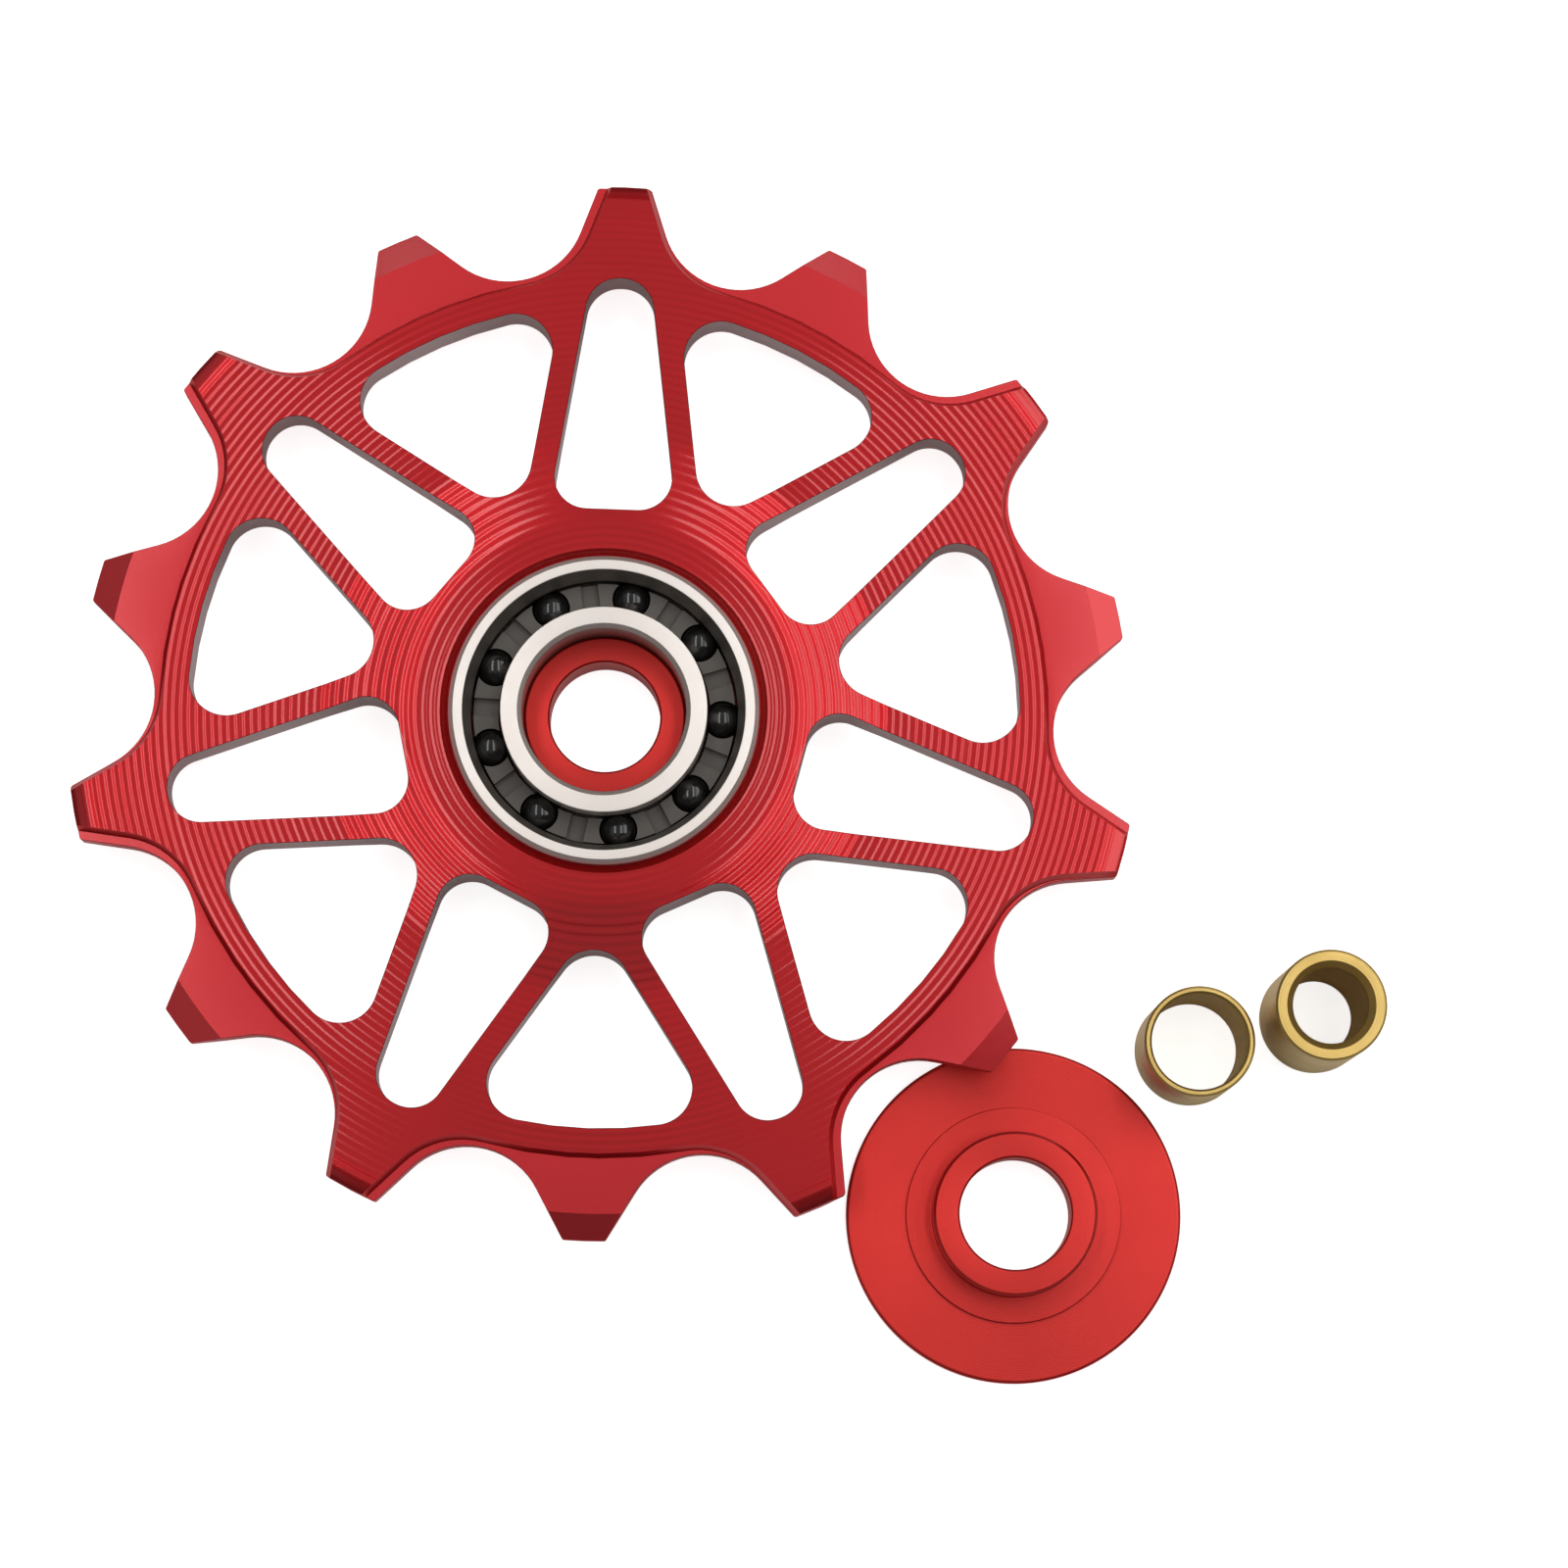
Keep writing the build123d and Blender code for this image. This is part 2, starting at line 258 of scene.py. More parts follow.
def inside(points: np.ndarray, line: Sequence[Vector]) -> np.ndarray:
    """Which points lie inside a closed line.

    Args:
        points: One row for each point.
        line: Points of the closed line.

    Returns:
        One truth value for each point.
    """
    start = np.array(line)
    end = np.roll(start, -1, axis=0)
    x, y = points[:, :1], points[:, 1:]
    spans = (start[:, 1] > y) != (end[:, 1] > y)
    height = np.where(end[:, 1] == start[:, 1], 1.0, end[:, 1] - start[:, 1])
    crossing = start[:, 0] + (y - start[:, 1]) * (end[:, 0] - start[:, 0]) / height
    return (spans & (x < crossing)).sum(1) % 2 == 1


def triangulated(lines: Iterable[Line]) -> tuple[np.ndarray, np.ndarray]:
    """Join flat lines to triangles, with every line along their sides.

    Args:
        lines: Points of each line, and whether the last one joins the first.

    Returns:
        Place of each point, and the three points of each triangle.
    """
    points, edges = [], []
    for line, closed in lines:
        first = len(points)
        points += line
        edges += [(first + i, first + i + 1) for i in range(len(line) - 1)]
        if closed:
            edges.append((len(points) - 1, first))
    flat, _, triangles, *_ = delaunay_2d_cdt(points, edges, [], 0, JOIN)
    return np.array([tuple(point) for point in flat]), np.array(triangles)


# Finishes

@dataclass(frozen=True)
class Finish:
    """What every finish has: a name, a main colour, its gloss and whether it is a metal."""

    name: str
    colour: str
    roughness: float
    metallic: float = 1.0

    def make(self) -> bpy.types.Material:
        """Build the material with the nodes of this finish.

        Returns:
            New material.
        """
        material = bpy.data.materials.new(self.name)
        material.use_nodes = True
        tree = material.node_tree
        tree.nodes.clear()
        shader = add_node(
            tree,
            "ShaderNodeBsdfPrincipled",
            {"Base Color": linear(self.colour), "Roughness": self.roughness, "Metallic": self.metallic},
        )
        self.paint(tree, shader)
        add_node(tree, "ShaderNodeOutputMaterial", {"Surface": shader.outputs["BSDF"]})
        return material

    def paint(self, tree: bpy.types.NodeTree, shader: bpy.types.Node) -> None:
        """Add the pattern of this finish to its shader."""
        raise NotImplementedError


@dataclass(frozen=True)
class TurnedMetal(Finish):
    """Metal from the lathe: rings of feed marks, which spread the light across their run.

    The rings are at a feed round a centre, with a depth from crest to trough that swells and fades
    over a few rings. They wander a little, and the colour and the gloss change in patches. A clear
    coat follows the whole depth, and the metal under it only a share. The tangent that the light
    spreads along is lifted, so that it also runs up the walls.
    """

    shade: str = "#000000"
    centre: tuple[float, float] = (0.0, 0.0)
    feed: float = 0.1
    depth: float = 0.002
    metal_share: float = 1.0
    swell_rings: float = 3.0
    swell: tuple[float, float] = (0.3, 0.7)
    wander: float = 0.0
    patch: float = 5.0
    gloss_spread: float = 0.15
    anisotropy: float = 0.5
    tangent_lift: float = 0.6
    coat: float = 0.0
    coat_roughness: float = 0.2

    def paint(self, tree: bpy.types.NodeTree, shader: bpy.types.Node) -> None:
        """Add feed marks, the sheen across them and patches of the second colour.

        Args:
            tree: Tree of the material.
            shader: Shader that the pattern goes into.
        """
        place = add_node(tree, "ShaderNodeTexCoord").outputs["Object"]
        shift = (-self.centre[0] * MM, -self.centre[1] * MM, 0.0)
        spot = add_node(tree, "ShaderNodeMapping", {"Vector": place, "Location": shift}).outputs["Vector"]
        flat = add_node(
            tree, "ShaderNodeVectorMath", {0: spot, 1: (1.0, 1.0, 0.0)}, operation="MULTIPLY"
        ).outputs["Vector"]
        radius = add_node(tree, "ShaderNodeVectorMath", {0: flat}, operation="LENGTH").outputs["Value"]
        height = add_node(tree, "ShaderNodeSeparateXYZ", {0: spot}).outputs["Z"]
        patches = add_node(
            tree, "ShaderNodeTexNoise", {"Vector": spot, "Scale": 1 / (self.patch * MM), "Detail": 3.0}
        ).outputs["Fac"]
        drift = add_node(
            tree, "ShaderNodeMath", {0: patches, 1: self.wander * MM}, operation="MULTIPLY"
        ).outputs[0]
        reach = add_node(tree, "ShaderNodeMath", {0: radius, 1: height}, operation="ADD").outputs[0]
        run = add_node(tree, "ShaderNodeMath", {0: reach, 1: drift}, operation="ADD").outputs[0]
        phase = add_node(
            tree, "ShaderNodeMath", {0: run, 1: 2 * math.pi / (self.feed * MM)}, operation="MULTIPLY"
        ).outputs[0]
        wave = add_node(tree, "ShaderNodeMath", {0: phase}, operation="SINE").outputs[0]
        strength = add_node(
            tree,
            "ShaderNodeTexNoise",
            {"W": run, "Scale": 1 / (self.swell_rings * self.feed * MM), "Detail": 1.0},
            noise_dimensions="1D",
        ).outputs["Fac"]
        least, most = self.swell
        rise = add_node(
            tree, "ShaderNodeMapRange", {"Value": strength, "To Min": least, "To Max": most}
        ).outputs[0]
        ring = add_node(tree, "ShaderNodeMath", {0: wave, 1: rise}, operation="MULTIPLY").outputs[0]
        metal_bump, coat_bump = (
            add_node(
                tree, "ShaderNodeBump", {"Height": ring, "Distance": depth * MM, "Strength": 1.0}
            ).outputs["Normal"]
            for depth in (self.depth * self.metal_share, self.depth)
        )
        colour = add_node(
            tree,
            "ShaderNodeMix",
            {"Factor": patches, MIX_A: linear(self.colour), MIX_B: linear(self.shade)},
            data_type="RGBA",
        ).outputs[MIX_RESULT]
        gloss = add_node(
            tree,
            "ShaderNodeMapRange",
            {
                "Value": patches,
                "To Min": self.roughness * (1 - self.gloss_spread),
                "To Max": self.roughness * (1 + self.gloss_spread),
            },
        ).outputs[0]
        outward = add_node(
            tree, "ShaderNodeVectorMath", {0: flat}, operation="NORMALIZE"
        ).outputs["Vector"]
        across = add_node(
            tree,
            "ShaderNodeVectorMath",
            {0: outward, 1: (0.0, 0.0, self.tangent_lift)},
            operation="ADD",
        ).outputs["Vector"]
        set_inputs(
            tree,
            shader,
            {
                "Base Color": colour,
                "Roughness": gloss,
                "Normal": metal_bump,
                "Tangent": across,
                "Anisotropic": self.anisotropy,
                "Coat Normal": coat_bump,
                "Coat Weight": self.coat,
                "Coat Roughness": self.coat_roughness,
            },
        )


@dataclass(frozen=True)
class MilledMetal(Finish):
    """Milled metal: an even, silky face with fine cutter marks and faint patches of its shade."""

    shade: str = "#000000"
    mark: float = 0.25
    depth: float = 0.001
    patch: float = 4.0
    coat: float = 0.0
    coat_roughness: float = 0.3

    def paint(self, tree: bpy.types.NodeTree, shader: bpy.types.Node) -> None:
        """Add cutter marks and patches of the second colour.

        Args:
            tree: Tree of the material.
            shader: Shader that the pattern goes into.
        """
        place = add_node(tree, "ShaderNodeTexCoord").outputs["Object"]
        patches = add_node(
            tree, "ShaderNodeTexNoise", {"Vector": place, "Scale": 1 / (self.patch * MM), "Detail": 4.0}
        ).outputs["Fac"]
        marks = add_node(
            tree, "ShaderNodeTexNoise", {"Vector": place, "Scale": 1 / (self.mark * MM), "Detail": 2.0}
        ).outputs["Fac"]
        bump = add_node(
            tree, "ShaderNodeBump", {"Height": marks, "Distance": self.depth * MM, "Strength": 1.0}
        ).outputs["Normal"]
        colour = add_node(
            tree,
            "ShaderNodeMix",
            {"Factor": patches, MIX_A: linear(self.colour), MIX_B: linear(self.shade)},
            data_type="RGBA",
        ).outputs[MIX_RESULT]
        set_inputs(
            tree,
            shader,
            {
                "Base Color": colour,
                "Normal": bump,
                "Coat Normal": bump,
                "Coat Weight": self.coat,
                "Coat Roughness": self.coat_roughness,
            },
        )


@dataclass(frozen=True)
class MouldedPlastic(Finish):
    """Moulded plastic: a dull skin with a fine eroded grain and slight change of tone."""

    metallic: float = 0.0
    shade: str = "#000000"
    grain: float = 0.12
    depth: float = 0.004

    def paint(self, tree: bpy.types.NodeTree, shader: bpy.types.Node) -> None:
        """Add the grain of the mould.

        Args:
            tree: Tree of the material.
            shader: Shader that the pattern goes into.
        """
        place = add_node(tree, "ShaderNodeTexCoord").outputs["Object"]
        grains = add_node(
            tree, "ShaderNodeTexNoise", {"Vector": place, "Scale": 1 / (self.grain * MM), "Detail": 3.0}
        ).outputs["Fac"]
        bump = add_node(
            tree, "ShaderNodeBump", {"Height": grains, "Distance": self.depth * MM, "Strength": 1.0}
        ).outputs["Normal"]
        colour = add_node(
            tree,
            "ShaderNodeMix",
            {"Factor": grains, MIX_A: linear(self.colour), MIX_B: linear(self.shade)},
            data_type="RGBA",
        ).outputs[MIX_RESULT]
        set_inputs(tree, shader, {"Base Color": colour, "Normal": bump})


@dataclass(frozen=True)
class PolishedCeramic(Finish):
    """Lapped silicon nitride: near black and mirror smooth, with cloudy patches under the polish."""

    metallic: float = 0.0
    shade: str = "#000000"
    cloud: float = 0.6
    gloss_spread: float = 0.3
    ior: float = 1.6

    def paint(self, tree: bpy.types.NodeTree, shader: bpy.types.Node) -> None:
        """Add the clouds under the polish.

        Args:
            tree: Tree of the material.
            shader: Shader that the pattern goes into.
        """
        place = add_node(tree, "ShaderNodeTexCoord").outputs["Object"]
        clouds = add_node(
            tree, "ShaderNodeTexNoise", {"Vector": place, "Scale": 1 / (self.cloud * MM), "Detail": 4.0}
        ).outputs["Fac"]
        colour = add_node(
            tree,
            "ShaderNodeMix",
            {"Factor": clouds, MIX_A: linear(self.colour), MIX_B: linear(self.shade)},
            data_type="RGBA",
        ).outputs[MIX_RESULT]
        gloss = add_node(
            tree,
            "ShaderNodeMapRange",
            {
                "Value": clouds,
                "To Min": self.roughness * (1 - self.gloss_spread),
                "To Max": self.roughness * (1 + self.gloss_spread),
            },
        ).outputs[0]
        set_inputs(tree, shader, {"Base Color": colour, "Roughness": gloss, "IOR": self.ior})


# Meshes

def new_object(name: str, data: bpy.types.ID) -> bpy.types.Object:
    """Link a new object to the scene.

    Args:
        name: Name of the object.
        data: Its mesh, light or camera.

    Returns:
        The new object.
    """
    item = bpy.data.objects.new(name, data)
    bpy.context.scene.collection.objects.link(item)
    return item


@contextmanager
def edited(mesh: bpy.types.Mesh) -> Iterator[bmesh.types.BMesh]:
    """Open a mesh for edits and write them back at the end.

    Args:
        mesh: Mesh to edit.

    Yields:
        The mesh in the form that can be edited.
    """
    shell = bmesh.new()
    shell.from_mesh(mesh)
    yield shell
    shell.to_mesh(mesh)
    shell.free()


def plain(piece: bpy.types.Object) -> bpy.types.Object:
    """Replace an object with live modifiers by one that has only their result.

    Args:
        piece: Object with modifiers.

    Returns:
        New object of the same name, with a plain mesh.
    """
    name, source = piece.name, piece.data
    evaluated = piece.evaluated_get(bpy.context.evaluated_depsgraph_get())
    mesh = bpy.data.meshes.new_from_object(evaluated)
    bpy.data.objects.remove(piece)
    bpy.data.meshes.remove(source)
    mesh.name = name
    return new_object(name, mesh)


def lathe(name: str, profile: Sequence[Vector], centre: Vector, base: float) -> bpy.types.Object:
    """Turn a closed profile about an upright axis.

    Args:
        name: Name of the piece.
        profile: Radius and height of each point, in order.
        centre: Place of the axis.
        base: Height that the profile's heights count from.

    Returns:
        Piece with smooth faces and crisp edges.
    """
    points, faces = [], []
    count = len(profile)
    for step in range(LATHE_STEPS):
        spoke = polar(1.0, 360 * step / LATHE_STEPS)
        here, there = step * count, (step + 1) % LATHE_STEPS * count
        for index, point in enumerate(profile):
            spot = (centre + spoke * point.x).to_3d() + Vector((0, 0, base + point.y))
            points.append(spot * MM)
            above = (index + 1) % count
            faces.append((here + index, here + above, there + above, there + index))
    mesh = bpy.data.meshes.new(name)
    mesh.from_pydata(points, [], faces)
    with edited(mesh) as shell:
        bmesh.ops.remove_doubles(shell, verts=shell.verts, dist=WELD * MM)
        bmesh.ops.recalc_face_normals(shell, faces=shell.faces)
    mesh.shade_smooth()
    mesh.set_sharp_from_angle(angle=math.radians(LATHE_CRISP_ANGLE))
    piece = new_object(name, mesh)
    even = piece.modifiers.new("Even shading", "WEIGHTED_NORMAL")
    even.keep_sharp = True
    return plain(piece)


def ring_tree() -> bpy.types.NodeTree:
    """Build the tree that repeats a shape round the axle.

    Returns:
        Tree with inputs for the count, the turn of the first copy, the distance within which the
        copies are welded, and one material for each zone.
    """
    tree = bpy.data.node_groups.new("Repeat round the axle", "GeometryNodeTree")
    for name, kind in (
        ("Geometry", "NodeSocketGeometry"), ("Count", "NodeSocketInt"),
        ("First turn", "NodeSocketFloat"), ("Weld distance", "NodeSocketFloat"),
    ):
        tree.interface.new_socket(name, in_out="INPUT", socket_type=kind)
    for zone in Zone:
        tree.interface.new_socket(zone.name, in_out="INPUT", socket_type="NodeSocketMaterial")
    tree.interface.new_socket("Geometry", in_out="OUTPUT", socket_type="NodeSocketGeometry")
    given = add_node(tree, "NodeGroupInput").outputs
    line = add_node(
        tree, "GeometryNodeMeshLine", {"Count": given["Count"], "Offset": (0.0, 0.0, 0.0)}
    ).outputs["Mesh"]
    index = add_node(tree, "GeometryNodeInputIndex").outputs[0]
    step = add_node(
        tree, "ShaderNodeMath", {0: 2 * math.pi, 1: given["Count"]}, operation="DIVIDE"
    ).outputs[0]
    turn = add_node(
        tree, "ShaderNodeMath", {0: index, 1: step, 2: given["First turn"]}, operation="MULTIPLY_ADD"
    ).outputs[0]
    angles = add_node(tree, "ShaderNodeCombineXYZ", {"Z": turn}).outputs[0]
    rotation = add_node(tree, "FunctionNodeEulerToRotation", {0: angles}).outputs[0]
    copies = add_node(
        tree,
        "GeometryNodeInstanceOnPoints",
        {"Points": line, "Instance": given["Geometry"], "Rotation": rotation},
    ).outputs[0]
    whole = add_node(tree, "GeometryNodeRealizeInstances", {"Geometry": copies}).outputs[0]
    whole = add_node(
        tree, "GeometryNodeMergeByDistance", {"Geometry": whole, "Distance": given["Weld distance"]}
    ).outputs[0]
    mark = add_node(
        tree, "GeometryNodeInputNamedAttribute", {"Name": "zone"}, data_type="INT"
    ).outputs[0]
    for zone in Zone:
        here = add_node(
            tree,
            "FunctionNodeCompare",
            {COMPARE_A: mark, COMPARE_B: int(zone)},
            data_type="INT",
            operation="EQUAL",
        ).outputs[0]
        whole = add_node(
            tree,
            "GeometryNodeSetMaterial",
            {"Geometry": whole, "Selection": here, "Material": given[zone.name]},
        ).outputs[0]
    add_node(tree, "NodeGroupOutput", {"Geometry": whole})
    return tree


def ring_of(
    piece: bpy.types.Object,
    count: int,
    azimuth: float,
    weld: float,
    materials: dict[Zone, bpy.types.Material],
) -> bpy.types.Object:
    """Repeat a piece round the axle with the Geometry Nodes tree.

    Args:
        piece: Shape to repeat, with its zone on each face.
        count: Number of copies.
        azimuth: Azimuth of the first copy.
        weld: Distance within which points of the copies are joined.
        materials: Material for each zone that the piece has.

    Returns:
        Piece with one plain mesh.
    """
    tree = bpy.data.node_groups.get("Repeat round the axle") or ring_tree()
    modifier = piece.modifiers.new("Ring", "NODES")
    modifier.node_group = tree
    values: dict[str, Any] = {
        "Count": count, "First turn": -math.radians(azimuth), "Weld distance": weld * MM,
    }
    values.update({zone.name: material for zone, material in materials.items()})
    for item in tree.interface.items_tree:
        if item.in_out == "INPUT" and item.name in values:
            modifier[item.identifier] = values[item.name]
    return plain(piece)


def seat(
    piece: bpy.types.Object,
    body: Body,
    nodes: Sequence[str],
    material: bpy.types.Material | None = None,
    inward: bpy.types.Material | None = None,
) -> None:
    """Give a piece its material, its body and the CAD nodes that it stands for.

    Args:
        piece: Finished piece.
        body: Body that it rides on.
        nodes: CAD nodes that it replaces.
        material: Material for the whole piece, where it doesn't have its own yet.
        inward: Material for the faces that look at the axle, where they differ: a darker one that paints
            the shade there.
    """
    if material:
        piece.data.materials.clear()
        piece.data.materials.append(material)
    if inward:
        piece.data.materials.append(inward)
        for face in piece.data.polygons:
            face.material_index = int(face.normal.xy.dot(face.center.xy.normalized()) < INWARD)
    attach(piece, body.value)
    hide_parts(*nodes)
    log.info("%s: %d faces, rides on %s", piece.name, len(piece.data.polygons), body.value)


@dataclass
class ToothedWheel:
    """Red wheel with wide and narrow teeth by turns, windows under them and a dished face."""

    mid_height: float = MID_HEIGHT
    chain_pitch: float = 12.7
    roller_diameter: float = 7.75
    seat_clearance: float = 0.425
    pairs: int = 7
    rest_turn: float = 2.0
    wide_tip_rise: float = 0.92
    narrow_tip_rise: float = 0.32
    wide_flank: float = 18.9
    narrow_flank: float = 29.5
    tip_corner: float = 0.18
    bore_radius: float = 8.51
    bore_chamfer: float = 0.45
    hub_height: float = 2.2
    hub_face_width: float = 1.99
    dish_length: float = 4.8
    web_height: float = 1.4
    wide_roll: tuple[float, float] = (1.3, 0.3)
    roll_steps: int = 5
    narrow_height: float = 0.9
    narrow_drop: float = 0.1
    narrow_facet: tuple[float, float] = (1.45, 0.4)
    ledge_inset: float = 0.25
    ledge_turn: float = 0.45
    ledge_wall_angle: float = 26.0
    spoke_width: float = 1.35
    spoke_azimuths: tuple[float, float] = (22.8, 5.3)
    hub_ring_width: float = 2.64
    rim_width: float = 1.86
    wide_rim_width: float = 0.44
    window_corner: float = 2.05
    wide_window_corner: float = 1.85
    full_round_share: float = 0.97
    broken_edge: float = 0.03
    crisp_angle: float = 11.0
    crease_width: float = 0.5
    circle_steps: int = 24
    overcut: float = 1.0
    wall_margin: float = 0.01
    seam_weld: float = 0.002

    def __post_init__(self) -> None:
        """Work out the radii that follow from the chain and the teeth."""
        self.tooth_angle = 180 / self.pairs
        pitch_radius = self.chain_pitch / (2 * math.sin(math.radians(self.tooth_angle / 2)))
        self.root_radius = pitch_radius - self.roller_diameter / 2
        self.wide_tip_radius = pitch_radius + self.wide_tip_rise
        self.narrow_tip_radius = pitch_radius + self.narrow_tip_rise
        self.seat_radius = self.roller_diameter / 2 + self.seat_clearance
        self.wall_reach = (self.web_height - self.narrow_height) * math.tan(
            math.radians(self.ledge_wall_angle)
        )
        self.window_foot = self.bore_radius + self.hub_ring_width
        self.hub_end = self.bore_radius + self.hub_face_width
        self.dish_end = self.hub_end + self.dish_length

    def flank(self, tip_radius: float, angle: float, inset: float) -> list[Vector]:
        """Clockwise flank of a tooth along +Y.

        Args:
            tip_radius: Radius of the tooth's tip.
            angle: Lean of the straight part of the flank.
            inset: How far inside the true flank the line runs.

        Returns:
            Points from the root up to the middle of the tip.
        """
        seat_centre = polar(self.root_radius + self.seat_radius, self.tooth_angle / 2)
        reach = self.seat_radius + inset
        lean = math.radians(angle)
        away = Vector((math.cos(lean), math.sin(lean)))
        seat_end = seat_centre - away * reach
        corner = meeting(
            seat_end - away * self.tip_corner,
            Vector((-math.sin(lean), math.cos(lean))),
            tip_radius - self.tip_corner,
        )
        root = polar(seat_centre.length - reach, self.tooth_angle / 2)
        tip_start = corner.normalized() * tip_radius
        return (
            arc(seat_centre, root, seat_end)
            + arc(corner, corner + away * self.tip_corner, tip_start)
            + arc(ORIGIN, tip_start, polar(tip_radius, 0))[1:]
        )

    def tooth(self, tip_radius: float, angle: float, inset: float, azimuth: float) -> list[Vector]:
        """Outline of one tooth, from its root on one side over the tip to that on the other."""
        side = self.flank(tip_radius, angle, inset)
        return turned(mirrored(side) + side[-2::-1], azimuth)

    def tooth_line(self) -> list[Vector]:
        """Outline of the wide tooth along +Y and the narrow tooth on either side of it.

        Returns:
            Points in clockwise order.
        """
        narrow = (self.narrow_tip_radius, self.narrow_flank, 0.0)
        return (
            self.tooth(*narrow, -self.tooth_angle)
            + self.tooth(self.wide_tip_radius, self.wide_flank, 0.0, 0.0)[1:]
            + self.tooth(*narrow, self.tooth_angle)[1:]
        )

    def pad_line(self, inset: float) -> list[Vector]:
        """Outline of the raised face, along the rim and over the pad on the wide tooth.

        Args:
            inset: How far inside the teeth's flanks the line runs.

        Returns:
            Points across the sector and a little past it on both sides.
        """
        radius = self.root_radius - inset
        half, far = self.tooth_angle / 2, 2 * self.tooth_angle
        before = arc(ORIGIN, polar(radius, -far), polar(radius, self.ledge_turn - half))
        after = arc(ORIGIN, polar(radius, self.ledge_turn + half), polar(radius, far))
        tip_radius = self.wide_tip_radius + self.overcut
        return before + self.tooth(tip_radius, self.wide_flank, inset, self.ledge_turn)[1:-1] + after

    def spoke_side(self, offset: float) -> tuple[Vector, Vector]:
        """Side of the spoke that leans from the hub to the wide tooth.

        Args:
            offset: Distance of the side from the spoke's centre line.

        Returns:
            Start at the hub, and direction.
        """
        hub = polar(self.window_foot, self.spoke_azimuths[0])
        along = (polar(self.root_radius, self.spoke_azimuths[1]) - hub).normalized()
        return hub + Vector((along.y, -along.x)) * offset, along

    def wide_window(self) -> list[Vector]:
        """Outline of the window under the wide tooth: broad at the hub, round at the rim.

        Returns:
            Points of the closed outline.
        """
        start, along = self.spoke_side(-self.spoke_width / 2)
        foot, top = self.window_foot, self.root_radius - self.wide_rim_width
        foot_x, top_x = (start.x + along.x * (y - start.y) / along.y for y in (foot, top))
        lean = -along.x / along.y
        full_round = top_x * (math.hypot(1, lean) + lean)
        top_corner = min(self.wide_window_corner, self.full_round_share * full_round)
        return rounded(
            [
                (-foot_x, foot, self.wide_window_corner),
                (-top_x, top, top_corner),
                (top_x, top, top_corner),
                (foot_x, foot, self.wide_window_corner),
            ]
        )

    def narrow_window(self) -> list[Vector]:
        """Outline of the window under a narrow tooth: pointed at the hub, an arc along the rim.

        Returns:
            Points of the closed outline, for a tooth along +Y.
        """
        start, along = self.spoke_side(self.spoke_width / 2)
        (start,) = turned(mirrored([start]), self.tooth_angle)
        (along,) = turned(mirrored([along]), self.tooth_angle)
        radius, outer = self.window_corner, self.root_radius - self.rim_width
        inward = Vector((-along.y, along.x))
        apex = start - along * (start.x / along.x)
        foot = Vector((0.0, apex.y + radius / along.x))
        corner = meeting(apex + inward * radius, along, outer - radius)
        rim_start = corner.normalized() * outer
        half = (
            arc(foot, foot - Vector((0.0, radius)), foot - inward * radius)
            + arc(corner, corner - inward * radius, rim_start)
            + arc(ORIGIN, rim_start, Vector((0.0, outer)))[1:]
        )
        return half + mirrored(half[-2:0:-1])

    def turned_height(self, radius: np.ndarray) -> np.ndarray:
        """Height of the turned face above the middle of the wheel.

        Args:
            radius: Distance of each point from the axle.

        Returns:
            One height for each point: a flat hub, a dish, a flat web and tips that roll off.
        """
        chamfer_end = self.bore_radius + self.bore_chamfer
        face = np.interp(
            radius,
            [self.bore_radius, chamfer_end, self.hub_end, self.dish_end],
            [self.hub_height - self.bore_chamfer, self.hub_height, self.hub_height, self.web_height],
        )
        length, drop = self.wide_roll
        bend = (length**2 + drop**2) / (2 * drop)
        past = np.clip(radius - self.wide_tip_radius + length, 0, length)
        return face - bend + np.sqrt(bend**2 - past**2)

    def ledge_height(self, points: np.ndarray) -> np.ndarray:
        """Height of the ledge along the wide tooth and of the bevelled narrow teeth beside it.

        Args:
            points: One row for each point.

        Returns:
            One height for each point.
        """
        radius = np.hypot(*points.T)
        on_narrow = np.abs(np.arctan2(*points.T)) > math.radians(self.tooth_angle / 2)
        length, drop = self.narrow_facet
        facet = self.narrow_tip_radius - length
        slope = self.narrow_drop / (facet - self.root_radius)
        face = self.narrow_height - np.maximum(radius - self.root_radius, 0) * slope
        return face - on_narrow * np.maximum(radius - facet, 0) * (drop / length - slope)

    def across(self, radius: float) -> list[Vector]:
        """Arc round the axle that reaches half a tooth past the sector on both sides.

        Args:
            radius: Radius of the arc.

        Returns:
            Points in clockwise order.
        """
        reach = 3 * self.circle_steps // 2
        step = self.tooth_angle / self.circle_steps
        return [polar(radius, step * i) for i in range(-reach, reach + 1)]

    def bends(self) -> list[float]:
        """Radii at which the upper face bends.

        Returns:
            Radii of the chamfer, of both creases of the dish, and of the bends on the teeth.
        """
        radii = [self.bore_radius + self.bore_chamfer]
        for crease in (self.hub_end, self.dish_end):
            radii += [crease + side * self.crease_width for side in (-1, 0, 1)]
        radii += [self.root_radius, self.narrow_tip_radius - self.narrow_facet[0]]
        roll = [self.wide_roll[0] * i / self.roll_steps for i in range(1, self.roll_steps + 1)]
        return radii + [self.wide_tip_radius - run for run in roll]

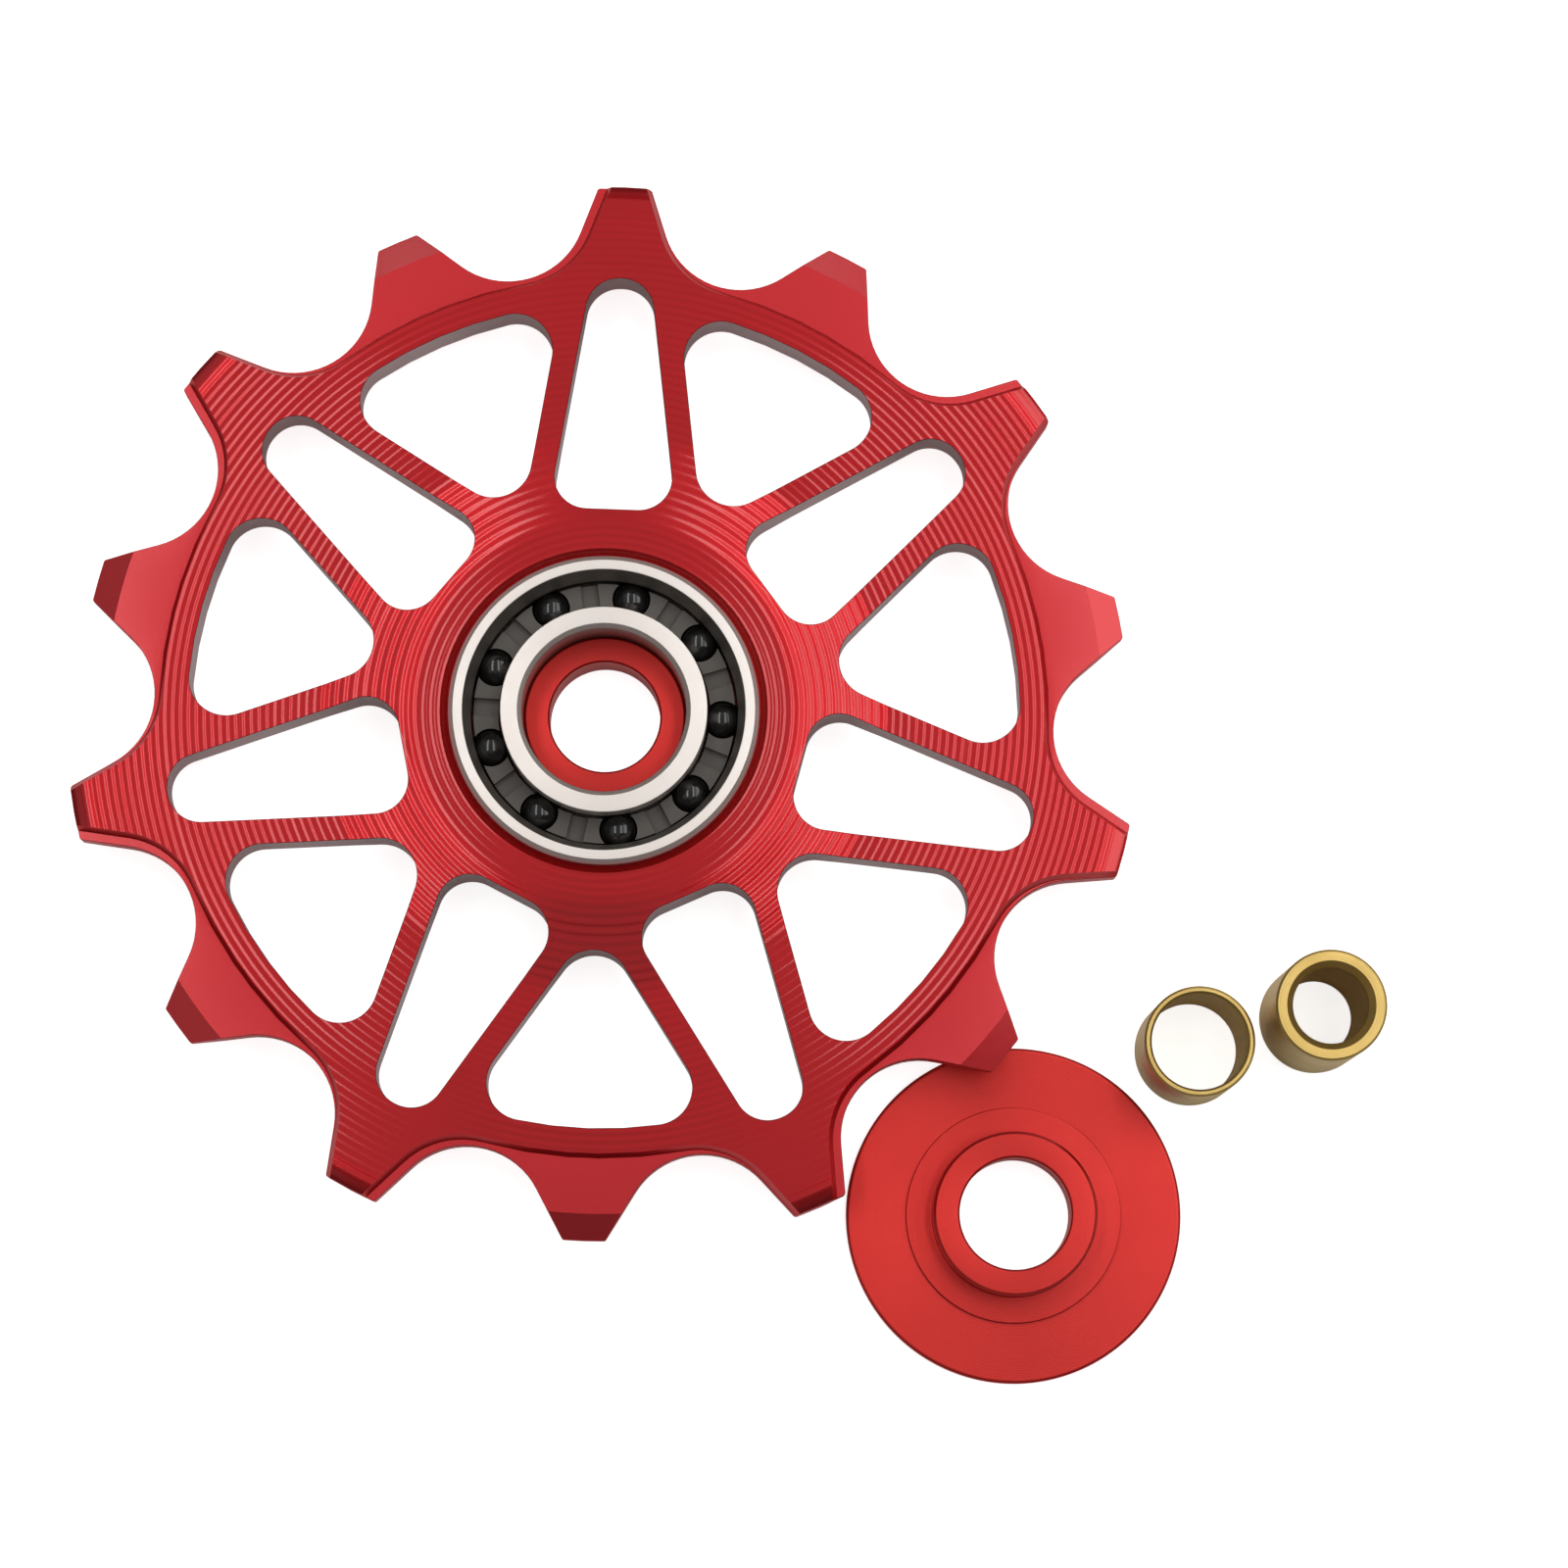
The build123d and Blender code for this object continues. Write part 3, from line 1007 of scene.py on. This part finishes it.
    def sector(self) -> bpy.types.Object:
        """Build one wide tooth with half a narrow tooth on either side, from hub to tip.

        The flat lines of the part are joined to triangles, each point gets its height on the upper
        face, and the lower face mirrors it.

        Returns:
            Sector with its wide tooth along +Y and the zone of each face.
        """
        sides = (-self.tooth_angle, self.tooth_angle)
        teeth = self.tooth_line()
        outline = teeth + self.across(self.bore_radius)[::-1]
        windows = [self.wide_window()] + [turned(self.narrow_window(), side) for side in sides]
        foot = self.pad_line(self.ledge_inset)
        lines: list[Line] = [
            (outline, True),
            (beside(teeth, -self.broken_edge, False), False),
            (foot, False),
            (self.pad_line(self.ledge_inset + self.wall_reach), False),
        ]
        for window in windows:
            lines += [(window, True), (self.window_edge(window), True)]
        ends = (self.bore_radius - self.overcut, self.wide_tip_radius + self.overcut)
        lines += [([polar(radius, side) for radius in ends], False) for side in sides]
        lines += [(self.across(radius), False) for radius in self.bends()]

        flat, triangles = triangulated(lines)
        centres = flat[triangles].mean(1)
        azimuth = np.degrees(np.arctan2(centres[:, 0], centres[:, 1]))
        kept = inside(centres, outline) & (np.abs(azimuth) < self.tooth_angle)
        for window in windows:
            kept &= ~inside(centres, window)
        triangles, centres = triangles[kept], centres[kept]

        radius = np.hypot(*flat.T)
        low = self.ledge_height(flat)
        height = low + self.raised_share(flat, foot) * (self.turned_height(radius) - low)
        edge = np.min([distances(flat, line) for line in [outline] + windows], axis=0)
        # The bore has its own chamfer, so the hub keeps its height
        edge[radius < self.hub_end] = self.broken_edge
        height -= np.maximum(self.broken_edge - edge, 0)
        share = self.raised_share(centres, foot)
        on_face, on_wall = share > 1 - self.wall_margin, share > self.wall_margin
        zones = np.select([on_face, on_wall], [Zone.TURNED, Zone.TOOTH_WALL], Zone.LEDGE)
        return self.solid(flat, height, triangles, zones, windows)

    def window_edge(self, window: list[Vector]) -> list[Vector]:
        """Line round a window where its broken edge meets the face.

        Args:
            window: Outline of the window.

        Returns:
            Points of the closed line.
        """
        spread = beside(window, self.broken_edge, True)
        middle = sum(window, Vector((0.0, 0.0))) / len(window)
        grows = sum((p - middle).length for p in spread) - sum((p - middle).length for p in window)
        return spread if grows > 0 else beside(window, -self.broken_edge, True)

    def raised_share(self, points: np.ndarray, foot: list[Vector]) -> np.ndarray:
        """How far up the ledge's wall each point is.

        Args:
            points: One row for each point.
            foot: Line along the foot of the wall.

        Returns:
            Nought on the ledge, one on the raised face, and a share between on the wall.
        """
        raised = inside(points, foot + [ORIGIN])
        depth = np.where(raised, distances(points, foot + foot[-2:0:-1]), 0.0)
        return np.clip(depth / self.wall_reach, 0, 1)

    def solid(
        self,
        flat: np.ndarray,
        height: np.ndarray,
        triangles: np.ndarray,
        top_zones: np.ndarray,
        windows: list[list[Vector]],
    ) -> bpy.types.Object:
        """Close the sector with its lower face and its walls.

        Args:
            flat: Place of each point, seen from above.
            height: Height of each point above the middle of the wheel.
            triangles: Points of each triangle of the upper face.
            top_zones: Zone of each triangle of the upper face.
            windows: Outlines of the windows.

        Returns:
            Sector that is open only along its two straight sides.
        """
        count = len(flat)
        spots = [
            (x * MM, y * MM, (self.mid_height + side * z) * MM)
            for side in (1, -1) for (x, y), z in zip(flat, height)
        ]
        faces, zones, sides = [], [], {}
        for (a, b, c), zone in zip(triangles.tolist(), top_zones.tolist()):
            cross = np.cross(flat[b] - flat[a], flat[c] - flat[a])
            a, b = (a, b) if cross > 0 else (b, a)
            faces += [(a, b, c), (c + count, b + count, a + count)]
            zones += [zone] * 2
            for start, end in ((a, b), (b, c), (c, a)):
                sides[start, end] = True
        for start, end in list(sides):
            middle = (flat[start] + flat[end]) / 2
            azimuth = abs(math.degrees(math.atan2(*middle)))
            if (end, start) in sides or azimuth > self.tooth_angle - TOUCH:
                continue
            faces.append((end, start, start + count, end + count))
            by_window = min(distances(middle[None], window)[0] for window in windows) < TOUCH
            zones.append(Zone.WINDOW_WALL if by_window else Zone.TOOTH_WALL)
        mesh = bpy.data.meshes.new("wheel_sector")
        mesh.from_pydata(spots, [], faces)
        mesh.attributes.new("zone", "INT", "FACE").data.foreach_set("value", zones)
        with edited(mesh) as shell:
            bare = [point for point in shell.verts if not point.link_faces]
            bmesh.ops.delete(shell, geom=bare, context="VERTS")
        return new_object("toothed_wheel", mesh)

    def build(self) -> None:
        """Repeat the sector to a whole wheel, dress it and shade its crisp edges."""
        wheel = ring_of(self.sector(), self.pairs, self.rest_turn, self.seam_weld, self.dress())
        with edited(wheel.data) as shell:
            bmesh.ops.recalc_face_normals(shell, faces=shell.faces)
        wheel.data.shade_smooth()
        wheel.data.set_sharp_from_angle(angle=math.radians(self.crisp_angle))
        seat(wheel, Body.WHEEL, ["wheel"])

    def dress(self) -> dict[Zone, bpy.types.Material]:
        """Materials for the zones of the wheel.

        Returns:
            One material for each zone.
        """
        return {
            # Clear oxide over coarse feed marks mirrors the lamps in thin pale lines, and the etched
            # metal under it blurs them, so the face is deep red between the lines
            Zone.TURNED: TurnedMetal(
                "anodised_aluminium_face_turned", "#BD151C", 0.3, shade="#B31219", feed=0.43,
                depth=0.02, metal_share=0.4, wander=0.02, patch=6.0, anisotropy=0.3, coat=0.9,
                coat_roughness=0.1,
            ).make(),
            # The cutter leaves the ledges silky, so they look lighter and more even
            Zone.LEDGE: MilledMetal(
                "anodised_aluminium_milled", "#C41E25", 0.36, shade="#BC1A22", mark=0.3, depth=0.002,
                coat=1.0, coat_roughness=0.2,
            ).make(),
            # The window walls are given a pale grey-pink metal in place of the red
            Zone.WINDOW_WALL: MilledMetal(
                "anodised_aluminium_window_wall_grey", "#C4AFAF", 0.35, shade="#B09797", mark=0.4, depth=0.004,
            ).make(),
            # The hob leaves the flanks duller, so they keep an even, brighter red where they are steep
            Zone.TOOTH_WALL: MilledMetal(
                "anodised_aluminium_hobbed", "#D8262D", 0.45, shade="#C82026", mark=0.4, depth=0.004,
                coat=0.4,
            ).make(),
        }


@dataclass
class BallBearing:
    """Open ball bearing: two ground rings, black balls and the crown cage between them."""

    mid_height: float = MID_HEIGHT
    bore: float = 9.0
    diameter: float = 17.0
    width: float = 5.0
    chamfer: float = 0.25
    ball_diameter: float = 2.381
    ball_count: int = 9
    first_azimuth: float = 13.0
    race_clearance: float = 0.045
    race_depth: float = 0.405
    seal_seat: tuple[float, float] = (0.4, 1.2)
    edge: float = 0.06
    ball_segments: int = 40

    def __post_init__(self) -> None:
        """Work out the radius of the circle that the balls' centres are on."""
        self.ball_circle = (self.bore + self.diameter) / 4

    def race(self, side: int) -> tuple[float, list[Corner]]:
        """Groove that the balls run in.

        Args:
            side: One for the outer ring, minus one for the inner ring.

        Returns:
            Radius of the ring's shoulder, and the groove's points from below to above.
        """
        radius = self.ball_diameter / 2 + self.race_clearance
        shoulder = self.ball_circle + side * (radius - self.race_depth)
        rise = math.sqrt(radius**2 - (radius - self.race_depth) ** 2)
        centre = Vector((self.ball_circle, 0.0))
        points = arc(centre, Vector((shoulder, -rise)), Vector((shoulder, rise)))
        return shoulder, [(point.x, point.y, 0.0) for point in points]

    def outer_ring(self) -> bpy.types.Object:
        """Turn the outer ring, with the two empty sloping seats of its seals.

        Returns:
            The ring without a material.
        """
        shoulder, race = self.race(1)
        outer, top = self.diameter / 2, self.width / 2
        width, depth = self.seal_seat
        upper: list[Corner] = [
            (shoulder, top - depth, self.edge), (shoulder + width, top, self.edge),
            (outer - self.chamfer, top, self.edge), (outer, top - self.chamfer, self.edge),
        ]
        lower = [(x, -y, r) for x, y, r in reversed(upper)]
        return lathe("bearing_ring_outer", rounded(race + upper + lower), ORIGIN, self.mid_height)

    def inner_ring(self) -> bpy.types.Object:
        """Turn the inner ring, which is clamped between the caps.

        Returns:
            The ring without a material.
        """
        shoulder, race = self.race(-1)
        inner, top = self.bore / 2, self.width / 2
        upper: list[Corner] = [
            (shoulder, top, self.edge), (inner + self.chamfer, top, self.edge),
            (inner, top - self.chamfer, self.edge),
        ]
        lower = [(x, -y, r) for x, y, r in reversed(upper)]
        return lathe("bearing_ring_inner", rounded(race + upper + lower), ORIGIN, self.mid_height)

    def balls(self, material: bpy.types.Material) -> bpy.types.Object:
        """Build the balls, from one that is repeated round the axle.

        Args:
            material: Material of the balls.

        Returns:
            One piece with all the balls.
        """
        mesh = bpy.data.meshes.new("ball")
        with edited(mesh) as ball:
            bmesh.ops.create_uvsphere(
                ball,
                u_segments=self.ball_segments,
                v_segments=self.ball_segments // 2,
                radius=self.ball_diameter / 2 * MM,
                matrix=Matrix.Translation(Vector((0.0, self.ball_circle, self.mid_height)) * MM),
            )
        # A ball has one finish all over, so the first zone stands for it
        zones = [Zone.TURNED] * len(mesh.polygons)
        mesh.attributes.new("zone", "INT", "FACE").data.foreach_set("value", zones)
        ring = ring_of(
            new_object("bearing_balls", mesh), self.ball_count, self.first_azimuth, WELD,
            {Zone.TURNED: material},
        )
        ring.data.shade_smooth()
        return ring

    def build(self) -> None:
        """Build the rings and the balls, and dress them and the cage."""
        self.dress_rings(self.outer_ring(), self.inner_ring())
        # Lapped nitride mirrors the lamps as thin, sharp lights on black
        ceramic = PolishedCeramic("silicon_nitride_lapped", "#0E0C0B", 0.13, shade="#0A0908").make()
        numbers = range(1, self.ball_count + 1)
        seat(self.balls(ceramic), Body.BALL_CAGE, [f"ball_{number}" for number in numbers])
        self.dress_cage()

    def dress_rings(self, outer: bpy.types.Object, inner: bpy.types.Object) -> None:
        """Give the rings their steel: ground outside, and a duller steel painted darker as shade on the
        faces that look at the axle.

        Args:
            outer: Outer ring.
            inner: Inner ring.
        """
        # Ground steel is near white and satin, with rings drawn as coarse as they need to show
        ground = TurnedMetal(
            "bearing_steel_ground", "#F4EDE7", 0.42, shade="#E6DCD4", feed=0.09, depth=0.0007,
            wander=0.02, patch=3.0, anisotropy=0.4,
        ).make()
        # The faces that look at the axle, the bore and the seal seats, get a duller, darker steel: its
        # darker colour is painted shade for the shade they stand in
        dull_painted_shade_steel = TurnedMetal(
            "bearing_steel_dull_painted_shade", "#A59E97", 0.45, shade="#968F88", feed=0.12, depth=0.002,
            wander=0.02, patch=3.0, anisotropy=0.3,
        ).make()
        seat(outer, Body.WHEEL, ["bearing_outer_ring"], ground, dull_painted_shade_steel)
        seat(inner, Body.AXLE_SET, ["bearing_inner_ring"], ground, dull_painted_shade_steel)

    def dress_cage(self) -> None:
        """Give the cage of the CAD model its plastic."""
        # Glass-filled nylon from the mould is dull and dark, with a fine grain
        nylon = MouldedPlastic("glass_filled_nylon_moulded", "#655F59", 0.6, shade="#59534E").make()
        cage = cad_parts["bearing_cage"]
        cage.data.materials.clear()
        cage.data.materials.append(nylon)
        log.info("bearing_cage: CAD node with a new material")


@dataclass
class Cap:
    """Turned cap with a flange, a low shoulder against the inner ring and a hub."""

    node: str
    centre: tuple[float, float] = (0.0, 0.0)
    bore: float = 6.1
    flange_radius: float = 9.2
    flange_thickness: float = 0.8
    flange_edge: float = 0.2
    shoulder_radius: float = 5.9
    shoulder_height: float = 0.3
    hub_radius: float = 4.485
    hub_length: float = 1.9
    hub_chamfer: float = 0.15
    bore_chamfer: float = 0.1
    edge: float = 0.04

    def build(self) -> None:
        """Turn the cap and have it dressed."""
        shoulder = self.flange_thickness + self.shoulder_height
        top = shoulder + self.hub_length
        bore = self.bore / 2
        profile = rounded(
            [
                (bore, 0.0, self.edge), (self.flange_radius, 0.0, self.flange_edge),
                (self.flange_radius, self.flange_thickness, self.flange_edge),
                (self.shoulder_radius, self.flange_thickness, self.edge),
                (self.shoulder_radius, shoulder, self.edge), (self.hub_radius, shoulder, self.edge),
                (self.hub_radius, top - self.hub_chamfer, self.edge),
                (self.hub_radius - self.hub_chamfer, top, self.edge),
                (bore + self.bore_chamfer, top, self.edge), (bore, top - self.bore_chamfer, self.edge),
            ]
        )
        self.dress(lathe(f"{self.node}_turned", profile, Vector(self.centre), 0.0))

    def dress(self, piece: bpy.types.Object) -> None:
        """Give the cap its red finish.

        Args:
            piece: Turned cap.
        """
        # A fine feed leaves a satin face whose sheen fans out from the middle
        red = TurnedMetal(
            f"anodised_aluminium_fine_turned_{self.node}", "#D4312B", 0.36, shade="#C82A26",
            centre=self.centre, feed=0.12, depth=0.0025, wander=0.03, patch=4.0, anisotropy=0.5,
            coat=0.4, coat_roughness=0.3,
        ).make()
        seat(piece, Body.AXLE_SET, [self.node], red)


@dataclass
class Bush:
    """Plain brass bush that lines a cap for one size of bolt."""

    node: str
    centre: tuple[float, float]
    wall: float
    length: float
    mouth: float
    diameter: float = 6.0
    edge_chamfer: float = 0.12
    edge: float = 0.03

    def build(self) -> None:
        """Turn the bush and have it dressed."""
        outer, inner = self.diameter / 2, self.diameter / 2 - self.wall
        upper: list[Corner] = [
            (outer, self.length - self.edge_chamfer, self.edge),
            (outer - self.edge_chamfer, self.length, self.edge),
            (inner + self.mouth, self.length, self.edge), (inner, self.length - self.mouth, self.edge),
        ]
        lower = [(x, self.length - y, r) for x, y, r in reversed(upper)]
        self.dress(lathe(f"{self.node}_turned", rounded(upper + lower), Vector(self.centre), 0.0))

    def dress(self, piece: bpy.types.Object) -> None:
        """Give the bush its brass.

        Args:
            piece: Turned bush.
        """
        # Brass straight from the tool is satin, with fine rings and a little tarnish
        brass = TurnedMetal(
            f"brass_turned_{self.node}", "#D9BC78", 0.34, shade="#C3A257", centre=self.centre,
            feed=0.14, depth=0.003, wander=0.04, patch=2.5, anisotropy=0.5,
        ).make()
        seat(piece, Body.AXLE_SET, [self.node], brass)


@dataclass
class LoosePieces:
    """Pieces that stand beside the wheel: the front cap, and each bush beside the piece before it."""

    cap_azimuth: float = 140.5
    cap_hub_gap: float = 1.44
    thin_bush_azimuth: float = 47.1
    thick_bush_azimuth: float = 75.4
    gap: float = 1.15

    def build(self, wheel: ToothedWheel) -> None:
        """Build the pieces at their places.

        Args:
            wheel: Wheel that they stand beside.
        """
        place = polar(wheel.wide_tip_radius + self.cap_hub_gap + Cap.hub_radius, self.cap_azimuth)
        Cap("front_cap", tuple(place)).build()
        place += polar(Cap.flange_radius + self.gap + Bush.diameter / 2, self.thin_bush_azimuth)
        Bush("bush_thin", tuple(place), wall=0.4, length=7.2, mouth=0.12).build()
        place += polar(Bush.diameter + self.gap, self.thick_bush_azimuth)
        Bush("bush_thick", tuple(place), wall=0.95, length=9.2, mouth=0.35).build()


@dataclass
class Lamp:
    """Soft box over the bench: an area light that shines straight down with an even brightness."""

    name: str
    centre: tuple[float, float]
    size: tuple[float, float]
    brightness: float
    height: float = 450.0

    def build(self) -> None:
        """Hang the lamp."""
        data = bpy.data.lights.new(self.name, "AREA")
        data.shape = "RECTANGLE"
        data.size, data.size_y = (side * MM for side in self.size)
        data.energy = self.brightness * math.pi * data.size * data.size_y
        new_object(self.name, data).location = Vector((*self.centre, self.height)) * MM


@dataclass
class Studio:
    """Pale floor, soft boxes and the camera that looks down on the wheel.

    A dim box hangs over the wheel between two bright strips, which the turned face mirrors at its
    left and right.
    """

    floor_size: float = 3000.0
    floor_colour: str = "#F7F6F5"
    floor_roughness: float = 0.9
    floor_glow: float = 0.8
    surround: float = 0.13
    camera_place: tuple[float, float, float] = (6.2, -41.1, 297.3)
    camera_aim: tuple[float, float, float] = (9.85, -3.97, 5.0)
    camera_range: tuple[float, float] = (10.0, 20000.0)
    focal_length: float = 123.75
    sensor: float = 36.0
    lamps: list[Lamp] = field(
        default_factory=lambda: [
            Lamp("middle_box", (-9.5, 90), (211, 680), 0.25),
            Lamp("right_strip", (120, 155), (56, 550), 3.7),
            Lamp("right_box", (206, 155), (117, 550), 0.7),
            Lamp("far_right_box", (372, 155), (215, 550), 2.3),
            Lamp("north_right_box", (46, 285), (48, 290), 2.2),
            Lamp("north_left_box", (-64, 285), (52, 290), 2.2),
            Lamp("left_strip", (-145, 155), (60, 550), 4.0),
            Lamp("left_box", (-307, 90), (265, 680), 0.3),
        ]
    )

    def build(self) -> None:
        """Set up the floor, the lamps, the surround and the camera."""
        scene = bpy.context.scene
        scene.view_settings.view_transform = "Standard"
        self.floor()
        for lamp in self.lamps:
            lamp.build()
        world = bpy.data.worlds.new("surround")
        world.use_nodes = True
        background = world.node_tree.nodes["Background"]
        set_inputs(world.node_tree, background, {"Color": linear(WHITE), "Strength": self.surround})
        scene.world = world
        self.camera()

    def floor(self) -> None:
        """Lay the floor."""
        half = self.floor_size / 2 * MM
        mesh = bpy.data.meshes.new("floor")
        corners = [(-half, -half, 0), (half, -half, 0), (half, half, 0), (-half, half, 0)]
        mesh.from_pydata(corners, [], [(0, 1, 2, 3)])
        # Paper on a light table is an even white; only the camera sees its glow, so the pieces
        # mirror no more than the light that falls on it
        material = bpy.data.materials.new("light_table_paper")
        material.use_nodes = True
        tree = material.node_tree
        rays = add_node(tree, "ShaderNodeLightPath").outputs["Is Camera Ray"]
        glow = add_node(
            tree, "ShaderNodeMath", {0: rays, 1: self.floor_glow}, operation="MULTIPLY"
        ).outputs[0]
        set_inputs(
            tree,
            tree.nodes["Principled BSDF"],
            {
                "Base Color": linear(self.floor_colour),
                "Roughness": self.floor_roughness,
                "Emission Color": linear(WHITE),
                "Emission Strength": glow,
            },
        )
        mesh.materials.append(material)
        floor = new_object("floor", mesh)

    def camera(self) -> None:
        """Place the camera, with +Y upright in its view."""
        data = bpy.data.cameras.new("camera")
        data.lens, data.sensor_width = self.focal_length, self.sensor
        data.clip_start, data.clip_end = (distance * MM for distance in self.camera_range)
        place = Vector(self.camera_place)
        back = (place - Vector(self.camera_aim)).normalized()
        right = Vector((0.0, 1.0, 0.0)).cross(back).normalized()
        turn = Matrix((right, back.cross(right), back)).transposed()
        camera = new_object("camera", data)
        camera.matrix_world = Matrix.Translation(place * MM) @ turn.to_4x4()
        bpy.context.scene.camera = camera


def main() -> None:
    """Build the object and its studio."""
    logging.basicConfig(level=logging.INFO)
    wheel = ToothedWheel()
    wheel.build()
    BallBearing().build()
    Cap("rear_cap").build()
    LoosePieces().build(wheel)
    Studio().build()


if __name__ == "__main__":
    main()
